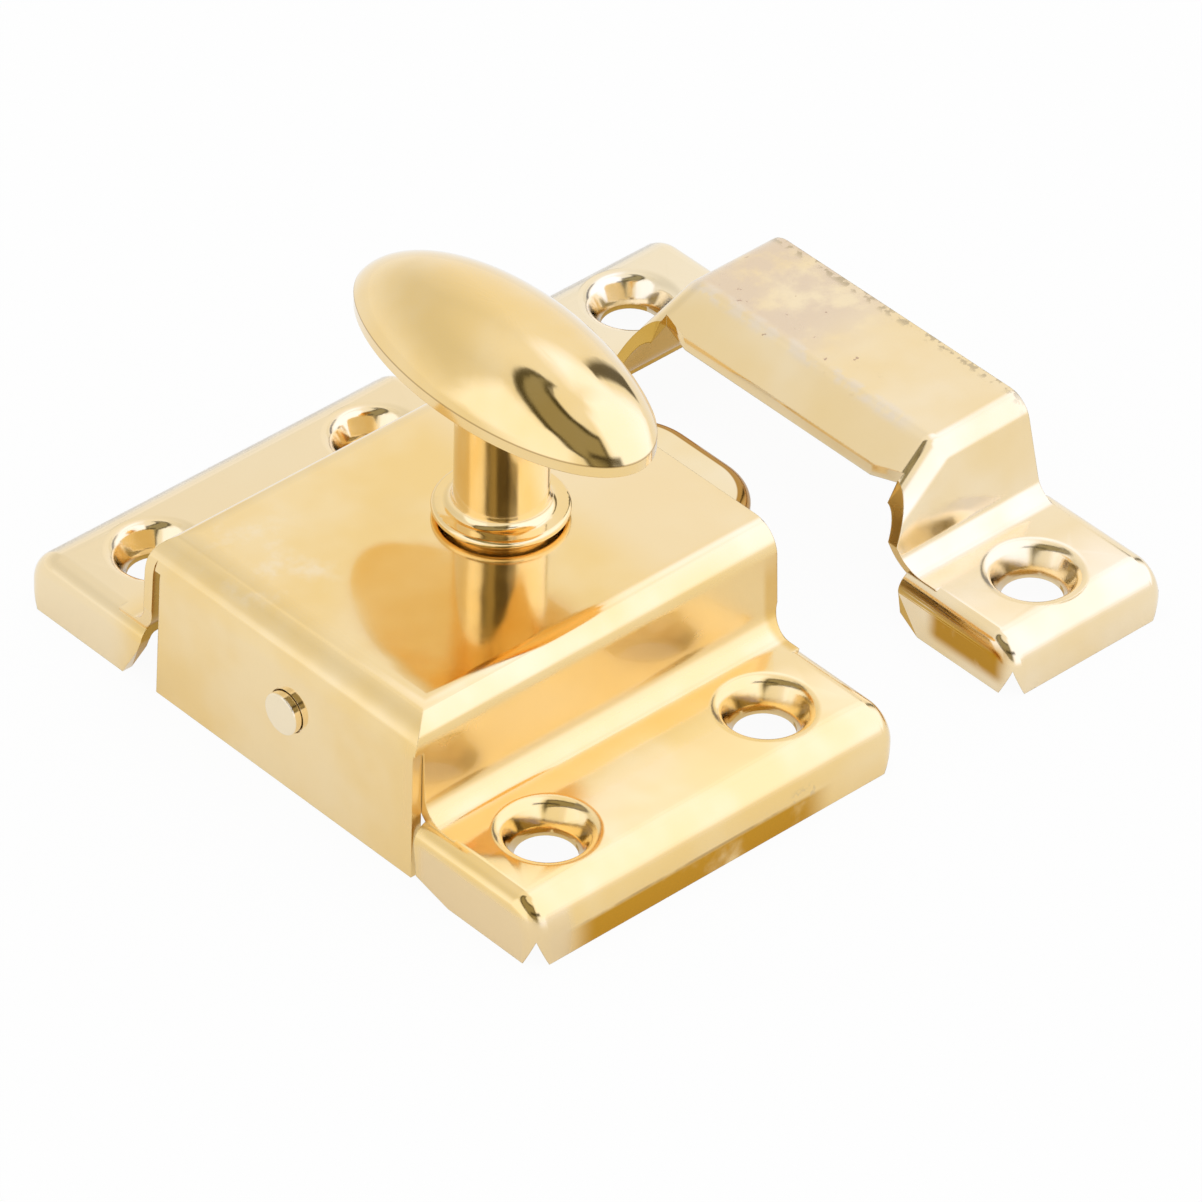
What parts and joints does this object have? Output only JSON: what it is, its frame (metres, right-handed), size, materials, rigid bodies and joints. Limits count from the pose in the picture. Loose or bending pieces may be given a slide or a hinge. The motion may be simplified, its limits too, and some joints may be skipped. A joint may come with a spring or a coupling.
{
  "type": "cupboard turn latch with strike",
  "caption": "Brass-plated pressed-steel cupboard turn latch: an oval knob draws a sprung bolt back from a separate bridge-shaped strike.",
  "frame": {"origin": "middle of the set's outline on the mounting plane", "axes": "+X along the bolt's travel towards the strike, +Y across the flanges, +Z out of the mounting plane towards the knob"},
  "size_m": [0.0566, 0.0502, 0.0291],
  "materials": {
    "case_brass": "polished brass plating on pressed sheet steel",
    "strike_brass": "polished brass plating on pressed sheet steel, scuffed on the bridge",
    "knob_brass": "polished brass plating",
    "bolt_brass": "polished brass plating",
    "cam_steel": "plain steel",
    "spring_steel": "plain spring wire"
  },
  "bodies": {
    "case": {"case": "case_brass", "spring": "spring_steel", "strike": "strike_brass"},
    "knob": {"knob": "knob_brass", "cam": "cam_steel", "washer": "cam_steel"},
    "bolt": {"bolt": "bolt_brass"}
  },
  "joints": [
    {"name": "knob_turn", "type": "hinge", "parent": "case", "child": "knob", "pos_m": [-0.00857, 0, 0.02], "axis": [0, 0, 1], "range_deg": [0, 60]},
    {"name": "bolt_slide", "type": "slide", "parent": "case", "child": "bolt", "axis": [-1, 0, 0], "range_m": [0, 0.00565], "stiffness_N_per_m": 200, "springref_m": -0.003, "deforming": ["spring"]}
  ],
  "couplings": [
    {"joint": "knob_turn", "follows": "bolt_slide", "rad_per_m": 185.19}
  ]
}
